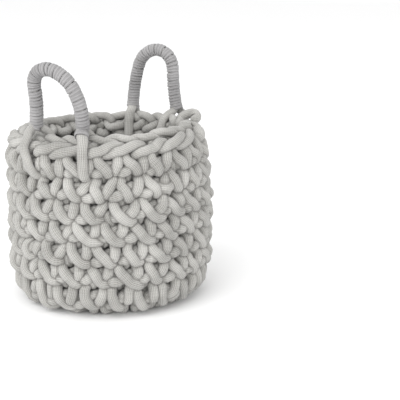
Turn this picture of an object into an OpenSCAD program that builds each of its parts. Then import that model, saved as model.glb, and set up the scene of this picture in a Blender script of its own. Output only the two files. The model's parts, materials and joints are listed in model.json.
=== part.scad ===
/* [Body] */
// Outside diameter of the basket at its widest round
body_d = 326; // [280:1:400]
// Outside diameter at the rim
rim_d = 310; // [266:1:392]
// Height from the floor to the top of the rim
body_h = 280; // [230:1:340]
// Height of the widest place above the floor
belly_h = 130; // [90:1:170]
// Thickness of the crocheted fabric, front of a stitch to its back
wall_t = 36; // [28:0.5:42]
// Outside radius of the rounded edge between base and wall
corner_r = 55; // [46:1:70]
// Depth of the groove between one round of stitches and the next
groove = 3; // [1:0.5:5]
// Height of the double chain braid that finishes the rim
braid_h = 22; // [16:0.5:26]

/* [Handles] */
// Distance between the two legs of a handle, centre to centre at the rim
handle_span = 88; // [76:1:104]
// Height of the front handle above the rim when it is upright
front_rise = 110; // [94:1:140]
// Height of the rear handle above the rim when it is upright
rear_rise = 118; // [94:1:140]
// Radius of the handle's top bend, along the middle of the grip
bend_r = 34; // [26:1:38]
// Diameter of the two rope strands squeezed together inside the grip
core_d = 16; // [12:0.5:20]
// Thickness of the cord wound round the strands
cord_t = 2.3; // [1.5:0.1:3]
// How far the front handle leans outwards when left alone, in degrees
front_lean = 12; // [0:1:20]
// How far the rear handle leans outwards when left alone, in degrees
rear_lean = 0; // [0:1:20]
// How far the front handle's top is pulled over towards its left leg
front_sway = 10; // [0:1:14]
// How far the rear handle's top is pulled over towards its left leg
rear_sway = 0; // [0:1:14]

/* [Rim loops] */
// Width of the flattened rope that ties a handle leg to the rim
loop_w = 15; // [12:0.5:18]
// Thickness of that rope
loop_t = 8; // [6:0.5:10]
// How deep the loop is pulled into the outside and inside of the wall
loop_sink = 3; // [2:0.5:5]
// How deep the loop is pulled into the top of the rim
rim_sink = 8; // [6:0.5:9]
// Radius of the loop's corners, along the middle of the rope
loop_bend = 9; // [8:0.5:12]

/* [Fastened end] */
// Diameter of the rope's end where it is sewn in at the rim
tail_d = 12; // [10:0.5:14]
// Length of that end
tail_len = 30; // [24:1:36]
// Where it lies round the rim, in degrees from +X towards +Y
tail_at = 58; // [36:1:60]

/* [Fits] */
// Clearance round a loop or an end that is let into the wall, and under a handle
clear = 0.3; // [0.2:0.05:0.6]

/* [Hidden] */

rope_colour = [0.78, 0.77, 0.75];
cord_colour = [0.66, 0.65, 0.66];

// Rounds are counted from the centre of the base: 0 to 3 lie in the base, 4 to 10 form the wall.
base_rounds = 4;
wall_rounds = 7;
rounds = base_rounds + wall_rounds;

// The middle of the fabric runs flat from the centre, turns up round the corner and climbs the wall.
half_t = wall_t / 2;
mid_corner_r = corner_r - half_t;
mid_belly_r = body_d / 2 - half_t;
mid_rim_r = rim_d / 2 - half_t;
corner_top = half_t + mid_corner_r;
wall_top = body_h - braid_h;
flat_r = wall_r(corner_top) - mid_corner_r;
corner_len = mid_corner_r * PI / 2;
fabric_len = flat_r + corner_len + wall_top - corner_top;
round_len = fabric_len / rounds;

// Radius of the middle of the wall at height z: a shallow arch, widest at belly_h.
function wall_r(z) = mid_belly_r - (mid_belly_r - mid_rim_r) * pow((z - belly_h) / (body_h - belly_h), 2);
function wall_slope(z) = -2 * (mid_belly_r - mid_rim_r) * (z - belly_h) / pow(body_h - belly_h, 2);

// Height reached after a length s along the fabric, on the wall.
function wall_z(s) = corner_top + s - flat_r - corner_len;
// Angle turned round the corner, in degrees.
function corner_a(s) = (s - flat_r) / mid_corner_r * 180 / PI;

// Point [r, z] on the middle of the fabric, and its direction there.
function fabric_point(s) =
    s <= flat_r ? [s, half_t] :
    s <= flat_r + corner_len
        ? [flat_r + mid_corner_r * sin(corner_a(s)), half_t + mid_corner_r * (1 - cos(corner_a(s)))]
        : [wall_r(wall_z(s)), wall_z(s)];
function fabric_angle(s) =
    s <= flat_r ? 0 :
    s <= flat_r + corner_len ? corner_a(s) : atan2(1, wall_slope(wall_z(s)));
function offset_point(s, d) = fabric_point(s) + d * [sin(fabric_angle(s)), -cos(fabric_angle(s))];

// The edge between two rounds is square to the fabric; the wall's top edge is level, under the braid.
function edge_point(s, d) =
    s > fabric_len - groove / 2 ? [wall_r(wall_top) + d, wall_top] : offset_point(s, d);

// One round of stitches is a length of the fabric whose edges are cut back at the grooves.
steps = 6;
function round_stops(s0, s1) = concat(
    [s0],
    [for (i = [0:steps]) s0 + groove + (s1 - s0 - 2 * groove) * i / steps],
    [s1]
);
function edge_cut(i, last, first_cut) = i == last || (i == 0 && first_cut) ? groove : 0;

module fabric_round(k) {
    stops = round_stops(k * round_len, (k + 1) * round_len);
    last = len(stops) - 1;
    outside = [for (i = [0:last]) edge_point(stops[i], half_t - edge_cut(i, last, k > 0))];
    inside = [for (i = [last:-1:0]) edge_point(stops[i], edge_cut(i, last, k > 0) - half_t)];
    color(rope_colour) rotate_extrude($fn = 120) polygon(concat(outside, inside));
}

// The loops pass through the wall between the last two rounds, and over the rim.
loop_low = wall_z((rounds - 1) * round_len);
loop_high = body_h + loop_t / 2 - rim_sink;
loop_out = wall_r(loop_low) + half_t + loop_t / 2 - loop_sink;
loop_in = mid_rim_r - half_t - loop_t / 2 + loop_sink;
leg_a = asin(handle_span / 2 / mid_rim_r);
// Directions of the four legs round the basket: front left, front right, rear right, rear left.
leg_dirs = [-90 - leg_a, -90 + leg_a, 90 - leg_a, 90 + leg_a];

// Straight lengths run a little way into each bend, whose section is finer by this much, so they join cleanly.
join_len = 0.5;
join_step = 0.05;

// Section of a flattened rope: a stadium, wide across the loop, grown by an allowance.
module rope_section(grow) {
    w = loop_w + 2 * grow;
    t = loop_t + 2 * grow;
    square([t, w - t], center = true);
    for (y = [-1, 1]) translate([0, y * (w - t) / 2]) circle(d = t, $fn = 32);
}

// A closed ring of rope in the plane that holds the basket's axis and the direction a.
module rim_loop(a, grow) {
    cut_back = loop_bend - join_len;
    run_u = loop_out - loop_in - 2 * cut_back;
    run_z = loop_high - loop_low - 2 * cut_back;
    rotate([0, 0, a]) {
        for (u = [loop_in, loop_out]) translate([u, 0, loop_low + cut_back])
            linear_extrude(run_z) rope_section(grow);
        for (z = [loop_low, loop_high]) translate([loop_in + cut_back, 0, z])
            rotate([0, 90, 0]) linear_extrude(run_u) rope_section(grow);
        for (i = [0:3]) translate([
            i == 0 || i == 3 ? loop_out - loop_bend : loop_in + loop_bend, 0,
            i < 2 ? loop_high - loop_bend : loop_low + loop_bend
        ]) rotate([90, 0, 0]) rotate([0, 0, 90 * i])
            rotate_extrude(angle = 90, $fn = 64) translate([loop_bend, 0]) rope_section(grow - join_step);
    }
}

module loops_space() {
    for (a = leg_dirs) rim_loop(a, clear);
}

// The rope's end lies along the outer edge of the rim.
module tail_shape(grow) {
    r = tail_d / 2 + grow;
    rotate([0, 0, tail_at]) translate([rim_d / 2 - tail_d / 2, 0, body_h - tail_d / 4])
        rotate([90, 0, 0]) {
            cylinder(h = tail_len - tail_d, r = r, center = true, $fn = 48);
            for (z = [-1, 1]) translate([0, 0, z * (tail_len - tail_d) / 2]) sphere(r = r, $fn = 48);
        }
}

module braid_ring() {
    r = braid_h / 2;
    rotate_extrude($fn = 120) translate([mid_rim_r, wall_top + r]) {
        square([wall_t - braid_h, braid_h], center = true);
        for (x = [-1, 1]) translate([x * (wall_t - braid_h) / 2, 0]) circle(r = r, $fn = 48);
    }
}

// A handle is drawn about its own hinge line: x along the line, z up, the outside of the basket at -y.
grip_r = core_d / 2 + cord_t;
foot_cut = grip_r * 0.25;
foot_reach = norm([grip_r, foot_cut]);
hinge_z = max(body_h, loop_high + loop_t / 2) + clear + foot_reach;
hinge_y = mid_rim_r * cos(leg_a);
// A handle's form is [rise, sway]: its height above the rim and how far its top is pulled over.
function bend_z(form) = body_h + form[0] - hinge_z - grip_r - bend_r;
// Each leg runs tangent to the top bend. The left leg is side -1, the right leg side 1.
function leg_reach(side, form) = handle_span / 2 + side * form[1];
function leg_far(side, form) = norm([leg_reach(side, form), bend_z(form)]);
function leg_len(side, form) = sqrt(pow(leg_far(side, form), 2) - pow(bend_r, 2));
// Angle by which a leg leans towards the handle's middle.
function leg_lean(side, form) =
    90 - atan2(bend_z(form), leg_reach(side, form)) - asin(bend_r / leg_far(side, form));

module at_leg(side, form) {
    translate([side * handle_span / 2, 0, 0]) rotate([0, -side * leg_lean(side, form), 0]) children();
}

module on_bend(form) {
    start = leg_lean(1, form);
    translate([-form[1], 0, bend_z(form)]) rotate([90, 0, 0]) rotate([0, 0, start])
        rotate_extrude(angle = 180 - start - leg_lean(-1, form), $fn = 96)
            translate([bend_r, 0]) children();
}

front_form = [front_rise, front_sway];
rear_form = [rear_rise, rear_sway];

// Half of the core, cut along the plane of the handle: y is -1 for the outer strand, 1 for the inner.
module half_disc(y, step) {
    r = core_d / 2 - step;
    intersection() {
        circle(r = r, $fn = 48);
        translate([-r, y > 0 ? step : -r - step]) square([2 * r, r]);
    }
}

module handle_strand(y, form) {
    for (side = [-1, 1]) at_leg(side, form) {
        linear_extrude(leg_len(side, form) + join_len) half_disc(y, 0);
        intersection() {
            sphere(r = grip_r, $fn = 64);
            translate([-grip_r, y > 0 ? 0 : -grip_r, -grip_r]) cube([2 * grip_r, grip_r, grip_r + foot_cut]);
        }
    }
    on_bend(form) half_disc(-y, join_step);
}

module sleeve_section(step) {
    difference() {
        circle(r = grip_r - step, $fn = 64);
        circle(r = core_d / 2 + step, $fn = 64);
    }
}

module handle_whipping(form) {
    for (side = [-1, 1]) at_leg(side, form) translate([0, 0, foot_cut])
        linear_extrude(leg_len(side, form) + join_len - foot_cut) sleeve_section(0);
    on_bend(form) sleeve_section(join_step);
}

module at_front() {
    translate([0, -hinge_y, hinge_z]) rotate([front_lean, 0, 0]) children();
}

module at_rear() {
    rotate([0, 0, 180]) translate([0, -hinge_y, hinge_z]) rotate([rear_lean, 0, 0]) children();
}

module base_centre() { fabric_round(0); }
module base_round_1() { fabric_round(1); }
module base_round_2() { fabric_round(2); }
module base_round_3() { fabric_round(3); }
module wall_round_1() { fabric_round(4); }
module wall_round_2() { fabric_round(5); }
module wall_round_3() { fabric_round(6); }
module wall_round_4() { fabric_round(7); }
module wall_round_5() { fabric_round(8); }
module wall_round_6() {
    difference() {
        fabric_round(9);
        loops_space();
    }
}
module wall_round_7() {
    difference() {
        fabric_round(10);
        loops_space();
    }
}
module rim_braid() {
    color(rope_colour) difference() {
        braid_ring();
        loops_space();
        tail_shape(clear);
    }
}
module fastened_end() { color(rope_colour) tail_shape(0); }

module front_left_loop() { color(rope_colour) rim_loop(leg_dirs[0], 0); }
module front_right_loop() { color(rope_colour) rim_loop(leg_dirs[1], 0); }
module rear_right_loop() { color(rope_colour) rim_loop(leg_dirs[2], 0); }
module rear_left_loop() { color(rope_colour) rim_loop(leg_dirs[3], 0); }

module front_outer_strand() { color(rope_colour) at_front() handle_strand(-1, front_form); }
module front_inner_strand() { color(rope_colour) at_front() handle_strand(1, front_form); }
module front_whipping() { color(cord_colour) at_front() handle_whipping(front_form); }
module rear_outer_strand() { color(rope_colour) at_rear() handle_strand(-1, rear_form); }
module rear_inner_strand() { color(rope_colour) at_rear() handle_strand(1, rear_form); }
module rear_whipping() { color(cord_colour) at_rear() handle_whipping(rear_form); }

base_centre();
base_round_1();
base_round_2();
base_round_3();
wall_round_1();
wall_round_2();
wall_round_3();
wall_round_4();
wall_round_5();
wall_round_6();
wall_round_7();
rim_braid();
fastened_end();
front_left_loop();
front_right_loop();
rear_left_loop();
rear_right_loop();
front_outer_strand();
front_inner_strand();
front_whipping();
rear_outer_strand();
rear_inner_strand();
rear_whipping();
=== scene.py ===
"""A large round storage basket crocheted from thick knitted rope, with two cord-whipped rope handles.

Everything is in metres, in the CAD frame: +Z up, the front handle at -Y and the rear handle at +Y.
"""
import bpy
import json
import numpy as np
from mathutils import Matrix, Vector


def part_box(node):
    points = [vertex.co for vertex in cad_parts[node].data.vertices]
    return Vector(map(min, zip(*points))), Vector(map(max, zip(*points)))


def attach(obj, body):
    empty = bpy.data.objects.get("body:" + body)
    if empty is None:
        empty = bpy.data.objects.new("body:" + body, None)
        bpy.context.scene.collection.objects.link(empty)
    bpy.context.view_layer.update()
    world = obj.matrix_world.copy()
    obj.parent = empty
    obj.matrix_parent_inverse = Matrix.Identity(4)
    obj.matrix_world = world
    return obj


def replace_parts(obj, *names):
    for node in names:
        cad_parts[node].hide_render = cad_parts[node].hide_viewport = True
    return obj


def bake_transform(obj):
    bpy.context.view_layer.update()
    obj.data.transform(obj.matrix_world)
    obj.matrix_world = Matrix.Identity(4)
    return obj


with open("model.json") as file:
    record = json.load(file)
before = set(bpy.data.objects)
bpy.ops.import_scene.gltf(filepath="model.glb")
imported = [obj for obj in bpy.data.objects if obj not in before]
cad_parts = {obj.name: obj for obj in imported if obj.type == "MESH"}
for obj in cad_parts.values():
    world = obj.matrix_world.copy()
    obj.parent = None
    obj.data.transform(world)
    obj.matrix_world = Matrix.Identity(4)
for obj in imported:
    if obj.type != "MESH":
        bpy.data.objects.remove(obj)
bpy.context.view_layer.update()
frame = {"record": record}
record = frame["record"]

# ---------------------------------------------------------------------------
# Body: one length of soft knitted tube rope, worked in single crochet from a
# ring in the middle of the base, round by round up the wall. Each stitch is a
# loop pulled up through the chain link below, and closed by the next link.
# ---------------------------------------------------------------------------
rope_d = 0.0138
base_rounds = 4
wall_rounds = 7
wall_stitches = 23
base_stitches = [5, 10, 14, 18]
corner_radius = 0.055

half_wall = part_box("base_centre")[1][2] / 2
fabric_inset = 0.004
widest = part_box("wall_round_4")[1][0] - half_wall - fabric_inset
rim_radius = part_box("rim_braid")[1][0] - half_wall - fabric_inset
rim_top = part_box("rim_braid")[1][2]
wall_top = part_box("rim_braid")[0][2]
widest_at = 0.130
bend_radius = corner_radius - half_wall
bend_top = half_wall + bend_radius


def wall_radius(z):
    """Radius of the wall's middle: widest at one height, and less by the square of the way from there."""
    return widest - (widest - rim_radius) * ((z - widest_at) / (rim_top - widest_at)) ** 2


flat_length = wall_radius(bend_top) - bend_radius
bend_length = bend_radius * np.pi / 2
round_height = (flat_length + bend_length + wall_top - bend_top) / (base_rounds + wall_rounds)


def fabric(s):
    """Radius, height and slope of the fabric's middle, a length s from its centre.

    The fabric runs flat, then round an arc, then up the wall.
    """
    slope = np.clip((s - flat_length) / bend_radius, 0, np.pi / 2)
    climb = np.maximum(s - flat_length - bend_length, 0)
    z = half_wall + bend_radius * (1 - np.cos(slope)) + climb
    low = np.minimum(s, flat_length) + bend_radius * np.sin(slope)
    return np.where(climb > 0, wall_radius(bend_top + climb), low), z, slope


# One stitch as rope diameters: along the round, up, and out of the fabric. It starts behind its hole, comes
# through, climbs the front to the left, passes behind the neck, comes down the right arm, goes back through
# the hole, and rises inside its own loop to make the chain link that the next round is hooked into.
hooked_stitch = np.array([
    (0.55, 0.30, -0.95), (0.90, 0.15, 0.0), (0.75, -0.05, 0.75), (0.10, -0.12, 1.2), (-0.6, 0.35, 1.35),
    (-1.08, 1.0, 1.3), (-1.32, 1.6, 1.1), (-1.48, 2.1, 0.65), (-1.4, 2.35, -0.05), (-0.8, 2.25, -0.75),
    (0.1, 2.2, -0.8), (0.58, 2.35, -0.25), (0.74, 2.15, 0.5), (0.78, 1.65, 1.0), (0.68, 1.1, 1.15),
    (0.48, 0.6, 0.95), (0.1, 0.3, 0.3), (-0.15, 0.2, -0.5), (-0.3, 0.7, -1.1), (-0.45, 1.2, -1.05),
    (-0.45, 1.65, -0.45), (-0.4, 2.1, 0.2), (-0.5, 2.6, 0.45), (-0.95, 3.05, 0.45), (-1.6, 3.25, 0.45),
    (-2.3, 3.25, 0.45), (-3.0, 2.95, 0.85), (-3.6, 2.65, 1.1), (-4.15, 2.6, 0.7), (-4.3, 2.7, 0.0),
    (-3.9, 2.85, -0.75), (-3.0, 3.1, -0.7), (-2.1, 3.25, -0.4), (-1.1, 3.15, -0.3), (-0.3, 3.0, -0.1),
    (0.05, 2.5, 0.05), (0.0, 1.75, -0.35), (-0.35, 1.45, -1.05), (-1.2, 1.0, -1.25),
])
# The same stitch with its left arm going straight into the hole instead of hooking under the right arm.
open_stitch = hooked_stitch.copy()
open_stitch[1:5] = [(-0.1, 0.1, 0.0), (-0.2, -0.05, 0.8), (-0.35, 0.15, 1.15), (-0.7, 0.6, 1.25)]
open_stitch[12:18] = [(0.85, 2.15, 0.45), (0.85, 1.65, 0.95), (0.75, 1.1, 1.1), (0.6, 0.5, 1.1),
                      (0.45, 0.05, 0.75), (0.35, 0.1, -0.4)]
# The last wall round has no chain link of its own: its neck turns straight down to the next stitch.
last_stitch = np.concatenate([open_stitch[:22], [(-0.2, 2.4, 0.0)], open_stitch[35:]])
# The chain that finishes the rim. From its tip, one leg slants down along the outer edge, turns inwards under
# the next link and comes back up along the top; then the rope runs on along the inside to the next tip.
rim_stitch = np.array([
    (0.15, 0.3, 0.1), (-0.4, 0.5, 0.6), (-1.3, 0.35, 1.05), (-2.4, 0.1, 1.2), (-3.4, -0.15, 1.1),
    (-4.1, -0.3, 0.7), (-4.45, -0.25, 0.0), (-4.3, 0.15, -0.6), (-3.7, 0.75, -0.75), (-2.8, 1.1, -0.55),
    (-1.8, 1.05, -0.3), (-0.8, 0.8, -0.1), (-0.05, 0.45, -0.3), (0.2, -0.05, -0.8), (-0.3, -0.35, -1.2),
    (-1.3, -0.3, -1.25), (-2.2, 0.0, -0.9),
])
stitch_width = 3.0
stitch_height = 2.4
next_hole = 0.85
neck_height = 2.6
middle_height = 1.2
pressed_in = 0.88
full_hook, slight_hook, uneven_hook = 0.85, 0.3, 0.2
unevenness = {"lean": 0.20, "width": 0.08, "height": 0.05, "along": 0.16, "up": 0.10, "out": 0.10}
hand = np.random.default_rng(7)


def round_of_stitches(k, count, start):
    """Control points of round k: the stitch is repeated count times to the left, each a little different.

    A point's way up the stitch is its length along the fabric, and its way out is along the fabric's normal.
    """
    uneven = {of: hand.normal(0, size, (count, 1)) for of, size in unevenness.items()}
    if k == base_rounds + wall_rounds:
        shape = rim_stitch[None]
    elif k == base_rounds + wall_rounds - 1:
        shape = last_stitch[None]
    else:
        hook = full_hook if k < base_rounds + wall_rounds - 2 else slight_hook
        hook = np.clip(hook + hand.normal(0, uneven_hook, (count, 1, 1)), 0, 1)
        shape = hook * hooked_stitch + (1 - hook) * open_stitch
    across, up, out = shape[..., 0], shape[..., 1], shape[..., 2]
    j = np.arange(count)[:, None]
    leaning = uneven["lean"] * (up - middle_height) * (up < neck_height)
    x = across * (1 + uneven["width"]) + leaning + uneven["along"]
    angle = start + (x / stitch_width - j) * 2 * np.pi / count
    height = up * (1 + uneven["height"]) + uneven["up"]
    s = np.maximum((k + height / stitch_height) * round_height, 0)
    r, z, slope = fabric(s)
    push = (out + uneven["out"]) * rope_d * pressed_in
    r = r + push * np.sin(slope)
    points = np.stack([r * np.cos(angle), r * np.sin(angle), z - push * np.cos(slope)], -1).reshape(-1, 3)
    return points, np.broadcast_to(out, x.shape).reshape(-1)


def length_along(points):
    """Length from the first point to each point, along the straight lines between them."""
    return np.concatenate([[0], np.cumsum(np.linalg.norm(np.diff(points, axis=0), axis=1))])


def smooth_path(points, step, tags=None, between=8):
    """A Catmull-Rom curve through the points, sampled again at an even step. Tags are carried along."""
    ends = np.concatenate([[2 * points[0] - points[1]], points, [2 * points[-1] - points[-2]]])
    a, b, c, d = (ends[i:len(ends) - 3 + i][:, None] for i in range(4))
    t = np.linspace(0, 1, between, endpoint=False)[None, :, None]
    fine = 0.5 * (2 * b + (c - a) * t + (2 * a - 5 * b + 4 * c - d) * t**2 + (3 * b - a - 3 * c + d) * t**3)
    fine = np.concatenate([fine.reshape(-1, 3), points[-1:]])
    run = length_along(fine)
    at = np.linspace(0, run[-1], int(run[-1] / step) + 1)
    path = np.stack([np.interp(at, run, fine[:, i]) for i in range(3)], -1)
    if tags is None:
        return path
    place = np.interp(at, run, np.arange(len(fine)) / between)
    return path, [np.interp(place, np.arange(len(tag)), tag) for tag in tags]


def close_pairs(points, reach, apart):
    """Index pairs of points nearer than reach, at least apart places from each other along the rope.

    The points are sorted into cubes of side reach, and each cube is compared with the 27 cubes about it.
    """
    cell = np.floor((points - points.min(0)) / reach).astype(np.int64) + 1
    size = cell.max(0) + 2
    key = (cell[:, 0] * size[1] + cell[:, 1]) * size[2] + cell[:, 2]
    order = np.argsort(key, kind="stable")
    ranked = key[order]
    found = []
    for step in np.ndindex(3, 3, 3):
        shift = ((step[0] - 1) * size[1] + step[1] - 1) * size[2] + step[2] - 1
        low = np.searchsorted(ranked, ranked + shift, "left")
        count = np.searchsorted(ranked, ranked + shift, "right") - low
        first = np.repeat(np.arange(len(points)), count)
        within = np.arange(len(first)) - np.repeat(np.cumsum(count) - count, count)
        a, b = order[first], order[np.repeat(low, count) + within]
        keep = b - a > apart
        keep[keep] = ((points[a[keep]] - points[b[keep]]) ** 2).sum(1) < reach**2
        found.append(np.stack([a[keep], b[keep]]))
    return np.concatenate(found, 1)


def settle(path, step, fixed, rounds=8, gap=0.82, smoothing=0.15, hold=0.10):
    """Presses strands apart to gap diameters, smooths the bends, and pulls each point back to where it lay.

    Each round moves two strands that are too close apart by half of what is missing, then each point by a
    share of its way to the middle of its neighbours and of its way back. The points of fixed, the handle
    ropes, push the body rope aside but stay where they are. Nothing sinks below the floor.
    """
    laid = path.copy()
    count = len(path)
    everything = np.concatenate([path, fixed])
    first, second = close_pairs(everything, reach=1.5 * rope_d, apart=int(2.2 * rope_d / step))
    useful = first < count
    first, second = first[useful], second[useful]
    for _ in range(rounds):
        everything[:count] = path
        between = everything[first] - everything[second]
        distance = np.linalg.norm(between, axis=1) + 1e-9
        overlap = np.maximum(gap * rope_d - distance, 0) / distance / 2
        push = between * overlap[:, None]
        total = len(everything)
        shift = np.stack([np.bincount(first, push[:, i], total) - np.bincount(second, push[:, i], total)
                          for i in range(3)], -1)
        touching = np.bincount(first, overlap > 0, total) + np.bincount(second, overlap > 0, total)
        path = path + (shift / np.maximum(touching, 1)[:, None] ** 0.6)[:count]
        bend = np.zeros_like(path)
        bend[1:-1] = (path[2:] + path[:-2]) / 2 - path[1:-1]
        path = path + smoothing * bend + hold * (laid - path)
        path[:, 2] = np.maximum(path[:, 2], rope_d * 0.49)
    return path


lean_angle = np.radians(35)
rim_rise = 0.026


def askew(points):
    """The finished basket is soft and stands askew, and its rim isn't level.

    A cubic of the height shifts it along one direction. The distance along that direction times the height
    squared raises it, by a share that is the rim's slope.
    """
    direction = np.array([np.cos(lean_angle), np.sin(lean_angle), 0])
    height = points[:, 2:] / rim_top
    points = points + direction * (-0.0055 + 0.010 * height - 0.014 * height**3)
    return points + [0, 0, rim_rise] * (points @ direction)[:, None] * height**2


def travelling_frame(path):
    """Tangent and two normals along a path, without twist.

    The normals first follow one fixed direction, which no strand runs in for long. Then the turn that this
    puts in from one point to the next is added up and taken out again.
    """
    tangent = np.gradient(path, axis=0)
    tangent /= np.linalg.norm(tangent, axis=1)[:, None]
    fixed = np.array([0.31, 0.52, 0.79])
    normal = fixed - (tangent @ fixed)[:, None] * tangent
    normal /= np.linalg.norm(normal, axis=1)[:, None]
    side = np.cross(tangent, normal)
    turn = np.arctan2((normal[:-1] * side[1:]).sum(1), (normal[:-1] * normal[1:]).sum(1))
    turn = np.concatenate([[0], np.cumsum(turn)])[:, None]
    return tangent, np.cos(turn) * normal + np.sin(turn) * side, np.cos(turn) * side - np.sin(turn) * normal


beside_reach = 0.0026
crease_shade_width = 0.11 * rope_d


def openness(grid, index, around, core, radius):
    """How clear each vertex of a tube is of the strands around it, which masks the painted crease shade: 0
    touches one, 1 is a fold's width off.

    index holds the tube's rings and around the points of other strands near them, in pairs. The distance to
    another strand is measured square to its direction, less its radius; the least one counts.
    """
    open_by = np.ones(grid.shape[:2])
    if len(index):
        order = np.argsort(index, kind="stable")
        index, around = index[order], around[order]
        direction = np.gradient(core, axis=0)
        direction /= np.linalg.norm(direction, axis=1)[:, None]
        direction = direction[around][:, None]
        away = grid[index] - core[around][:, None]
        along = np.clip((away * direction).sum(2), -beside_reach, beside_reach)
        away = away - along[..., None] * direction
        clear = (np.linalg.norm(away, axis=2) - radius[around][:, None]) / crease_shade_width
        first_of = np.flatnonzero(np.diff(index, prepend=-1))
        open_by[index[first_of]] = np.clip(np.minimum.reduceat(clear, first_of, axis=0), 0, 1)
    return open_by


drawn_in = (0.02, 0.6, 0.9)


def swept_mesh(name, path, normal, side, half_n, half_s, ridges, ridge_depth, sides, start, open_by):
    """A closed tube: at each point of the path an ellipse half_n by half_s, rippled by a cosine.

    The ends are drawn in to a point. The UV map runs once around the tube and along it in metres. open_by is
    the function that gives the attribute Open, the mask of the painted crease shade, from the grid of
    vertices.
    """
    count = len(path)
    close = np.ones(count)
    close[:3] = close[-1:-4:-1] = drawn_in
    around = np.linspace(0, 2 * np.pi, sides, endpoint=False)
    ripple = 1 + ridge_depth * np.cos(ridges * around)
    reach_n = (half_n * close)[:, None] * (ripple * np.cos(around))[None]
    reach_s = (half_s * close)[:, None] * (ripple * np.sin(around))[None]
    grid = path[:, None] + reach_n[..., None] * normal[:, None] + reach_s[..., None] * side[:, None]
    place = np.arange(count * sides).reshape(count, sides)
    after = np.roll(place, -1, 1)
    faces = np.stack([place[:-1], after[:-1], after[1:], place[1:]], -1).reshape(-1, 4)
    mesh = bpy.data.meshes.new(name)
    mesh.vertices.add(count * sides)
    mesh.vertices.foreach_set("co", grid.ravel())
    caps = np.concatenate([place[0, ::-1], place[-1]])
    mesh.loops.add(faces.size + caps.size)
    mesh.loops.foreach_set("vertex_index", np.concatenate([faces.ravel(), caps]))
    mesh.polygons.add(len(faces) + 2)
    starts = np.append(np.arange(len(faces)) * 4, (faces.size, faces.size + sides))
    mesh.polygons.foreach_set("loop_start", starts)
    mesh.polygons.foreach_set("use_smooth", np.ones(len(faces) + 2, bool))
    run = start + length_along(path)
    u = np.arange(sides) / sides
    uv_u = np.stack([np.tile(u, (count - 1, 1)), np.tile(u + 1 / sides, (count - 1, 1))], -1)
    low, high = np.repeat(run[:-1], sides), np.repeat(run[1:], sides)
    flat_u = uv_u.reshape(-1, 2)
    corners = np.stack([flat_u[:, 0], low, flat_u[:, 1], low, flat_u[:, 1], high, flat_u[:, 0], high], -1)
    ends = np.zeros((caps.size, 2))
    uv = mesh.uv_layers.new(name="Rope")
    uv.data.foreach_set("uv", np.concatenate([corners.ravel(), ends.ravel()]).astype(np.float32))
    shown = np.broadcast_to(open_by(grid), (count, sides)).astype(np.float32)
    mesh.attributes.new("Open", "FLOAT", "POINT").data.foreach_set("value", shown.ravel())
    mesh.update(calc_edges=True)
    mesh.validate()
    piece = bpy.data.objects.new(name, mesh)
    bpy.context.collection.objects.link(piece)
    return piece


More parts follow.
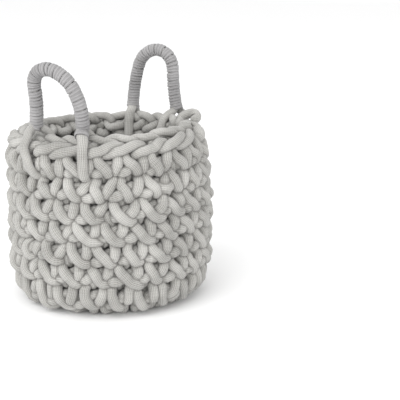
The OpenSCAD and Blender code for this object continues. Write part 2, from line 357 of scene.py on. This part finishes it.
def knitted_yarn(name, colour, painted_groove_shade, wales, course, relief):
    """Knitted tube: wales are the lines of V stitches along it, and course is the length of one V.

    Height over a wale is an arch, plus a sine along the rope whose phase slants away from the wale's middle,
    which draws the Vs. Colour goes from a painted shade in the grooves to the crest, drifts slowly from place
    to place, and is darkest, with painted shade, in the folds between strands, where the attribute Open is 0.
    """
    material = bpy.data.materials.new(name)
    material.use_nodes = True
    nodes, links = material.node_tree.nodes, material.node_tree.links
    shader = nodes["Principled BSDF"]
    shader.inputs["Roughness"].default_value = 0.92
    shader.inputs["Specular IOR Level"].default_value = 0.18
    shader.inputs["Sheen Weight"].default_value = 0.25
    shader.inputs["Sheen Roughness"].default_value = 0.55

    def math(operation, first, second=None):
        node = nodes.new("ShaderNodeMath")
        node.operation = operation
        for socket, value in zip(node.inputs, (first, second)):
            if isinstance(value, (int, float)):
                socket.default_value = value
            elif value is not None:
                links.new(value, socket)
        return node.outputs[0]

    uv = nodes.new("ShaderNodeUVMap")
    uv.uv_map = "Rope"
    split = nodes.new("ShaderNodeSeparateXYZ")
    links.new(uv.outputs[0], split.inputs[0])
    wale = math("FRACT", math("ADD", math("MULTIPLY", split.outputs[0], float(wales)), 0.5))
    off_centre = math("ABSOLUTE", math("SUBTRACT", wale, 0.5))
    crest = math("SUBTRACT", 1.0, math("MULTIPLY", math("MULTIPLY", off_centre, off_centre), 3.6))
    course_at = math("ADD", math("DIVIDE", split.outputs[1], course), math("MULTIPLY", off_centre, 1.3))
    vees = math("SINE", math("MULTIPLY", course_at, 2 * np.pi))
    where = nodes.new("ShaderNodeTexCoord")
    fibre = nodes.new("ShaderNodeTexNoise")
    fibre.inputs["Scale"].default_value = 900
    fibre.inputs["Detail"].default_value = 3
    links.new(where.outputs["Object"], fibre.inputs["Vector"])
    drift = nodes.new("ShaderNodeTexNoise")
    drift.inputs["Scale"].default_value = 28
    drift.inputs["Detail"].default_value = 2
    links.new(where.outputs["Object"], drift.inputs["Vector"])
    fuzz = math("MULTIPLY", fibre.outputs[0], 0.5)
    height = math("ADD", crest, math("ADD", math("MULTIPLY", vees, 0.28), fuzz))
    bump = nodes.new("ShaderNodeBump")
    bump.inputs["Strength"].default_value = 0.7
    bump.inputs["Distance"].default_value = relief
    links.new(height, bump.inputs["Height"])
    links.new(bump.outputs[0], shader.inputs["Normal"])
    # Painted shade: the colour is darker in the grooves between wales, where crest is low, and lighter on the
    # crests.
    shade = math("ADD", math("MULTIPLY", crest, 0.6), math("MULTIPLY", vees, 0.10))
    shade = math("ADD", shade, math("MULTIPLY", math("SUBTRACT", drift.outputs[0], 0.5), 0.9))
    shade = math("ADD", shade, math("MULTIPLY", math("SUBTRACT", fibre.outputs[0], 0.5), 0.5))
    # Painted shade in the creases: where another strand is near, Open falls towards 0 and the colour is
    # darkened.
    beside = nodes.new("ShaderNodeAttribute")
    beside.attribute_name = "Open"
    shade = math("MULTIPLY", shade, math("ADD", math("MULTIPLY", beside.outputs["Fac"], 0.85), 0.15))
    ramp = nodes.new("ShaderNodeValToRGB")
    ramp.color_ramp.elements[0].color = (*painted_groove_shade, 1)
    ramp.color_ramp.elements[0].position = 0.0
    ramp.color_ramp.elements[1].color = (*colour, 1)
    ramp.color_ramp.elements[1].position = 0.75
    links.new(shade, ramp.inputs[0])
    links.new(ramp.outputs[0], shader.inputs["Base Color"])
    return material


rope_finish = knitted_yarn("knitted rope", (0.53, 0.521, 0.496), (0.20, 0.195, 0.18),
                           wales=18, course=0.0034, relief=0.0011)


def knitted_rope(name, path, thickness, start=0.0, flat=1.0, across=None, open_by=lambda grid: 1.0):
    """Knitted rope along a path, ribbed lengthwise. flat squeezes it square to the direction across."""
    tangent, normal, side = travelling_frame(path)
    if across is not None:
        normal = np.cross(across, tangent)
        normal /= np.linalg.norm(normal, axis=1)[:, None]
        side = np.cross(tangent, normal)
    piece = swept_mesh(name, path, normal, side, thickness / 2 * flat, thickness / 2,
                       ridges=12, ridge_depth=0.022, sides=24, start=start, open_by=open_by)
    piece.data.materials.append(rope_finish)
    return piece


# ---------------------------------------------------------------------------
# Rim loops: the tails of each handle's rope. They leave the whipping, straddle
# the rim, run down the wall outside and inside, and meet in a hole under the
# top round. They are squeezed flat by the stitches.
# ---------------------------------------------------------------------------
tail_d = 0.0158
tail_flat = 0.74
tail_step = 0.0030
# Where each handle's two feet stand along X, and the line that it turns about.
feet = {"front_handle": (-0.047, 0.040), "rear_handle": (-0.044, 0.044)}
hinges = {joint["child"]: np.array(joint["pos_m"]) for joint in record["behaviour"]["joints"]}
tuck_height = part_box("wall_round_7")[0][2] - 0.001
clear_of_wall = 0.006


def tail_points(hinge):
    """Both tails in the plane through the basket's axis, as radius and height: down, under and up inside."""
    r, z = hinge
    tuck = tuck_height
    outside, inside = wall_radius(tuck) + half_wall + clear_of_wall, rim_radius - half_wall - clear_of_wall
    return np.array([
        (r + 0.003, z + 0.016), (r + 0.004, z + 0.006), (r + 0.007, z - 0.004), (r + 0.015, z - 0.009),
        (outside - 0.006, z - 0.014), (outside + 0.001, z - 0.027), (outside + 0.001, z - 0.045),
        (outside, tuck + 0.012), (outside - 0.005, tuck + 0.001), (outside - 0.016, tuck - 0.004),
        (r, tuck - 0.004), (inside + 0.013, tuck - 0.003), (inside + 0.003, tuck + 0.004),
        (inside, tuck + 0.018), (inside, z - 0.040), (inside + 0.003, z - 0.022),
        (inside + 0.010, z - 0.011), (r - 0.007, z - 0.004), (r - 0.004, z + 0.006), (r - 0.003, z + 0.016),
    ])


# How far each tail wanders along the rim: on its way over the edge, and from there to the tuck.
drift = {"front_left_loop": (0.007, 0.022), "front_right_loop": (0.008, 0.0)}
tails = {}
for body, names in (("front_handle", ("front_left_loop", "front_right_loop")),
                    ("rear_handle", ("rear_left_loop", "rear_right_loop"))):
    pivot = hinges[body]
    for name, x in zip(names, feet[body]):
        direction = np.array([x, pivot[1], 0]) / np.hypot(x, pivot[1])
        flat = tail_points((np.hypot(x, pivot[1]), pivot[2]))
        depth = np.clip((pivot[2] - 0.004 - flat[:, 1:]) / (pivot[2] - tuck_height), 0, 1)
        level = np.array([-direction[1], direction[0], 0])
        at_rim, further_down = drift.get(name, (0, 0))
        route = flat[:, :1] * direction + flat[:, 1:] * [0, 0, 1]
        route += level * (at_rim * np.minimum(depth * 6, 1) + further_down * depth)
        moved = (askew(route) - route) * np.minimum(depth * 3, 1)
        route += moved - level * (moved @ level)[:, None]
        tails[name] = (body, level, smooth_path(route, tail_step))

# ---------------------------------------------------------------------------
# Body rope, laid now that the tails it gives way to are known. The stitches
# squeeze it thinner inside the fabric, and it swells where it comes out. It is
# shown as one piece to a round, each running on into the next.
# ---------------------------------------------------------------------------
rope_step = 0.30 * rope_d
base_turn = 0.4
squeezed = 0.92
wall_swell, rim_swell, inside_swell = 0.24, 0.14, 0.12
laid, owner, depth, start_angle = [], [], [], 0.0
for k, count in enumerate(base_stitches + [wall_stitches] * (wall_rounds + 1)):
    points, out = round_of_stitches(k, count, start_angle)
    laid.append(points)
    depth.append(out)
    owner.append(np.full(len(points), k))
    start_angle += next_hole / stitch_width * 2 * np.pi / count if k >= base_rounds else base_turn
path, (owner, depth) = smooth_path(np.concatenate(laid), rope_step,
                                   (np.concatenate(owner), np.concatenate(depth)))
owner = np.floor(owner + 1e-6)
all_tails = np.concatenate([points for _, _, points in tails.values()])
path = askew(settle(path, rope_step, all_tails))

# The swell is a smooth step of the depth in the fabric on the outside, and a straight one on the inside.
# The base rests on the floor.
swell = np.clip((depth + 0.2) / 1.1, 0, 1)
most = np.where(owner < base_rounds + wall_rounds, wall_swell, rim_swell)
inner = np.clip((-0.5 - depth) / 0.6, 0, 1)
thickness = rope_d * (squeezed + most * swell**2 * (3 - 2 * swell) + inside_swell * inner)
path[:, 2] = np.maximum(path[:, 2], thickness / 2 * 1.03)

# Near strands of every round and tail, for the painted shade in the creases between them.
core = np.concatenate([path, all_tails])
core_radius = np.concatenate([thickness / 2, np.full(len(all_tails), tail_d * 0.42)])
one, other = close_pairs(core, reach=1.75 * rope_d, apart=int(2.0 * rope_d / rope_step))
one, other = np.concatenate([one, other]), np.concatenate([other, one])

rope_run = np.arange(len(path)) * rope_step
round_names = (["base_centre"] + ["base_round_%d" % i for i in range(1, base_rounds)]
               + ["wall_round_%d" % i for i in range(1, wall_rounds + 1)] + ["rim_braid"])
for k, name in enumerate(round_names):
    of_round = np.flatnonzero(owner == k)
    low, high = of_round[0], min(of_round[-1] + 3, len(path))
    here = (one >= low) & (one < high)
    beside = (one[here] - low, other[here], core, core_radius)
    piece = knitted_rope(name + "_rope", path[low:high], thickness[low:high], rope_run[low],
                         open_by=lambda grid: openness(grid, *beside))
    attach(piece, "basket")
    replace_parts(piece, name)

for name, (body, level, points) in tails.items():
    piece = knitted_rope(name + "_rope", points, np.full(len(points), tail_d), flat=tail_flat, across=level)
    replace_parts(piece, name)
    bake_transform(piece)

# ---------------------------------------------------------------------------
# Handles: two strands of the same rope side by side, held upright in an arch.
# The rest of the strands' length is the rim loops.
# ---------------------------------------------------------------------------
bend_r = 0.034
core_d = 0.016
cord_t = 0.0023
grip_r = core_d / 2 + cord_t
line_step = 0.003
# How far each handle leans outwards, how far its top is pulled to its left, its height above the rim, and how
# far its left and right legs bow outwards.
lean = {"front_handle": np.radians(12), "rear_handle": 0.0}
sway = {"front_handle": 0.008, "rear_handle": 0.006}
rise = {"front_handle": 0.110, "rear_handle": 0.118}
bow = {"front_handle": (-0.0045, 0.010), "rear_handle": (-0.003, 0.004)}


def handle_line(body, step):
    """The arch in its own plane, as x and height at an even step, and the length along it.

    It is a leg, a round bend and a leg that touches it. Half a sine of the height, which ends just under the
    top, then bows the legs outwards by the two widths in bow, the left one's first.
    """
    shift = sway[body]
    height = rim_top + rise[body] - hinges[body][2] - grip_r - bend_r
    centre = np.array([-shift, height])
    feet_at = np.array([(x, 0) for x in feet[body]])
    reach = np.abs(feet_at[:, 0] + shift)
    left, right = np.pi / 2 - np.arctan2(height, reach) - np.arcsin(bend_r / np.hypot(height, reach))
    arc = np.linspace(np.pi - left, right, 60)
    bend = centre + bend_r * np.stack([np.cos(arc), np.sin(arc)], -1)
    legs = np.linspace(0, 1, 20)[:, None]
    points = np.concatenate([feet_at[0] + legs[:-1] * (bend[0] - feet_at[0]), bend,
                             feet_at[1] + legs[-2::-1] * (bend[-1] - feet_at[1])])
    swing = np.sin(np.pi * np.clip(points[:, 1] / (height + bend_r * 0.9), 0, 1))
    points[:, 0] += swing * np.where(points[:, 0] > centre[0], bow[body][1], -bow[body][0])
    run = length_along(points)
    at = np.linspace(0, run[-1], int(run[-1] / step) + 1)
    return np.stack([np.interp(at, run, points[:, i]) for i in (0, 1)], -1), at


def in_place(body, across, outward, up):
    """The handle's own directions to the frame's: it leans outwards, and the rear one faces the other way."""
    facing = -1 if body == "front_handle" else 1
    tilt = lean[body]
    y = facing * (outward * np.cos(tilt) + up * np.sin(tilt))
    z = up * np.cos(tilt) - outward * np.sin(tilt)
    return hinges[body] + np.stack([-facing * across, y, z], -1)


strand_names = {"front_handle": ("front_outer_strand", "front_inner_strand"),
                "rear_handle": ("rear_outer_strand", "rear_inner_strand")}
for body, names in strand_names.items():
    line, _ = handle_line(body, line_step)
    line = line[2:-2]
    outwards = in_place(body, np.zeros(1), np.ones(1), np.zeros(1))[0] - hinges[body]
    for name, outward in zip(names, (core_d / 4, -core_d / 4)):
        points = in_place(body, line[:, 0], np.full(len(line), outward), line[:, 1])
        piece = knitted_rope(name + "_rope", points, np.full(len(points), core_d * squeezed), flat=0.5,
                             across=np.cross(np.gradient(points, axis=0) / line_step, outwards))
        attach(piece, body)
        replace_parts(piece, name)

# ---------------------------------------------------------------------------
# Whippings: one cord per handle, wound round both strands from foot to foot
# with each turn pressed against the last. Its ends are tucked in.
# ---------------------------------------------------------------------------
cord_pitch = 0.0048
cord_sides = 16
cord_finish = knitted_yarn("whipping cord", (0.35, 0.344, 0.346), (0.16, 0.156, 0.157),
                           wales=6, course=0.0016, relief=0.0002)
# How far each whipping runs on past the handle's feet, and the rim loops that it runs on over.
runs_on = {"front_handle": (0.006, 0.015), "rear_handle": (0.004, 0.006)}
loop_below = {"front_handle": ("front_left_loop", "front_right_loop"),
              "rear_handle": ("rear_right_loop", "rear_left_loop")}
points_per_turn = 36
flare_turns = 1.5
change_over = 0.008
ring_flat = 0.85
cord_swell, turn_overlap = 1.15, 1.04
bend_starts, bend_grows = 0.030, 0.03


def wound_cord(name, body):
    """A helix about the handle's line. Its lie and radius wander by slow sines, and its last turns flare.

    A turn is as wide as the pitch there: wider outside the bend and narrower inside it. Past either foot the
    helix goes over, by a smooth step, to one about the line of the rim loop below.
    """
    step = 0.001
    line, at = handle_line(body, step)
    past_left, past_right = runs_on[body]
    total = at[-1] + past_left + past_right
    turns = int(total / cord_pitch)
    share = np.linspace(0, 1, turns * points_per_turn)
    theta = 2 * np.pi * turns * share
    turn = theta / 6.28
    wander = 0.0007 * np.sin(2.3 * turn + 1) + 0.0005 * np.sin(0.71 * turn + 2)
    s = total * share - past_left + wander * np.sin(np.pi * share)
    flare = np.exp(-np.minimum(share, 1 - share) * turns / flare_turns)
    s = s + 0.0020 * flare * np.sin(theta + 0.8)
    past = np.maximum(0, [-s, s - at[-1]])
    x = np.interp(s, at, line[:, 0])
    z = np.interp(s, at, line[:, 1]) - past.sum(0)
    slope = np.gradient(line, axis=0) / step
    tx, tz = np.interp(s, at, slope[:, 0]), np.interp(s, at, slope[:, 1])
    size = np.hypot(tx, tz)
    tx, tz = tx / size, tz / size
    radius = core_d / 2 + cord_t / 2 + 0.0002 * np.sin(1.7 * turn) + 0.0010 * flare
    bend_at = np.clip((z - bend_starts) / bend_grows, 0, 1)
    out_n, out_y = np.cos(theta), np.sin(theta)
    px = x + radius * out_n * -tz
    pz = z + radius * out_n * tx
    path = in_place(body, px, radius * out_y, pz)
    centre = in_place(body, x, np.zeros(len(x)), z)
    offset = path - centre
    hinge_z = hinges[body][2]
    for loop, beyond, turned in zip(loop_below[body], past, (-out_n, out_n)):
        _, level, tail = tails[loop]
        run = length_along(tail)
        at_tail = run[np.argmax(tail[:, 2] < hinge_z)] + beyond
        on_tail, down = (np.stack([np.interp(at_tail, run, values[:, i]) for i in range(3)], -1)
                         for values in (tail, np.gradient(tail, axis=0)))
        down /= np.linalg.norm(down, axis=1)[:, None]
        ring = turned[:, None] * level + ring_flat * out_y[:, None] * np.cross(down, level)
        over = np.clip(beyond / change_over, 0, 1)[:, None]
        over = over**2 * (3 - 2 * over)
        centre = centre + (on_tail - centre) * over
        offset = offset + (radius[:, None] * ring - offset) * over
    path = centre + offset
    normal = offset / np.linalg.norm(offset, axis=1)[:, None]
    tangent = np.gradient(path, axis=0)
    tangent /= np.linalg.norm(tangent, axis=1)[:, None]
    side = np.cross(tangent, normal)
    side /= np.linalg.norm(side, axis=1)[:, None]
    width = cord_pitch / 2 * (1 + bend_at * out_n * radius / bend_r) * turn_overlap
    # The cord's outer side keeps its colour, and its flanks, pressed against the next turns, are darkened
    # with painted shade.
    open_side = np.cos(np.linspace(0, 2 * np.pi, cord_sides, endpoint=False))
    open_side = np.clip((open_side - 0.05) / 0.55, 0, 1)
    piece = swept_mesh(name, path, normal, side, np.full(len(path), cord_t / 2 * cord_swell), width,
                       ridges=6, ridge_depth=0.03, sides=cord_sides, start=0.0,
                       open_by=lambda grid: open_side)
    piece.data.materials.append(cord_finish)
    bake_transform(piece)
    return piece


for body, name in (("front_handle", "front_whipping"), ("rear_handle", "rear_whipping")):
    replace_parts(wound_cord(name + "_cord", body), name)

# ---------------------------------------------------------------------------
# Fastened end: the rope's last few centimetres, sewn down along the outer edge
# of the rim, where its cut end stays a little proud.
# ---------------------------------------------------------------------------
end_low, end_high = (np.array(corner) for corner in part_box("fastened_end"))
end_middle = (end_low + end_high) / 2
end_angle = np.arctan2(end_middle[1], end_middle[0])
end_radius = np.hypot(end_middle[0], end_middle[1])
# The route along the rim: angles round it, and distances out and up from the middle of the place.
end_turn = np.radians([7.0, 6.5, 5.0, 2.5, 0.0, -2.0, -3.0, -2.5])
end_out = np.array([-0.022, -0.014, -0.004, 0.002, 0.004, 0.003, -0.002, -0.008])
end_up = np.array([-0.012, 0.000, 0.005, 0.007, 0.006, 0.002, 0.000, 0.003])
route = np.stack([(end_radius + end_out) * np.cos(end_angle + end_turn),
                  (end_radius + end_out) * np.sin(end_angle + end_turn),
                  end_middle[2] + end_up], -1)
points = smooth_path(route, 0.0025)
piece = knitted_rope("fastened_end_rope", points, np.linspace(rope_d, rope_d * 1.3, len(points)))
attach(piece, "basket")
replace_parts(piece, "fastened_end")

# ---------------------------------------------------------------------------
# Viewpoint: a long lens at standing distance, a little above the rim, turned
# so that the front handle is seen to the left of the rear one.
# ---------------------------------------------------------------------------
view_distance = 1.55
view_azimuth = np.radians(35)
rim_elevation = np.radians(8.7)
look_right = np.radians(5.28)
look_down = np.radians(13.3)
lens = 87.2

eye = Vector((
    view_distance * np.sin(view_azimuth),
    -view_distance * np.cos(view_azimuth),
    rim_top + view_distance * np.tan(rim_elevation),
))
heading = view_azimuth - look_right
gaze = Vector((
    -np.sin(heading) * np.cos(look_down),
    np.cos(heading) * np.cos(look_down),
    -np.sin(look_down),
))
camera_data = bpy.data.cameras.new("camera")
camera_data.sensor_width = 36
camera_data.lens = lens
camera = bpy.data.objects.new("camera", camera_data)
camera.location = eye
camera.rotation_euler = gaze.to_track_quat("-Z", "Y").to_euler()
bpy.context.collection.objects.link(camera)
bpy.context.scene.camera = camera

# ---------------------------------------------------------------------------
# Floor and light: a plain pale floor, a soft even surround, one wide soft
# light from the upper left and a weaker one from low on the right.
# ---------------------------------------------------------------------------
bpy.ops.mesh.primitive_plane_add(size=30, location=(0, 0, 0))
floor = bpy.context.object
floor.name = "floor"
floor_finish = bpy.data.materials.new("floor")
floor_finish.use_nodes = True
floor_shader = floor_finish.node_tree.nodes["Principled BSDF"]
floor_shader.inputs["Base Color"].default_value = (0.93, 0.93, 0.93, 1)
floor_shader.inputs["Roughness"].default_value = 0.9
floor.data.materials.append(floor_finish)

world = bpy.data.worlds.new("surround")
world.use_nodes = True
world.node_tree.nodes["Background"].inputs["Color"].default_value = (1, 1, 1, 1)
world.node_tree.nodes["Background"].inputs["Strength"].default_value = 1.05
bpy.context.scene.world = world
bpy.context.scene.view_settings.view_transform = "Standard"


def soft_light(name, azimuth, elevation, distance, size, power):
    """A square area light that looks at the middle of the basket."""
    middle = Vector((0, 0, 0.15))
    turn, rise = np.radians(azimuth), np.radians(elevation)
    offset = Vector((np.sin(turn) * np.cos(rise), -np.cos(turn) * np.cos(rise), np.sin(rise))) * distance
    data = bpy.data.lights.new(name, "AREA")
    data.size = size
    data.energy = power
    light = bpy.data.objects.new(name, data)
    light.location = middle + offset
    light.rotation_euler = (-offset).to_track_quat("-Z", "Y").to_euler()
    bpy.context.collection.objects.link(light)


soft_light("upper left light", -2, 38, 5.0, 4.5, 165)
soft_light("low right light", 48, 8, 5.0, 4.5, 70)
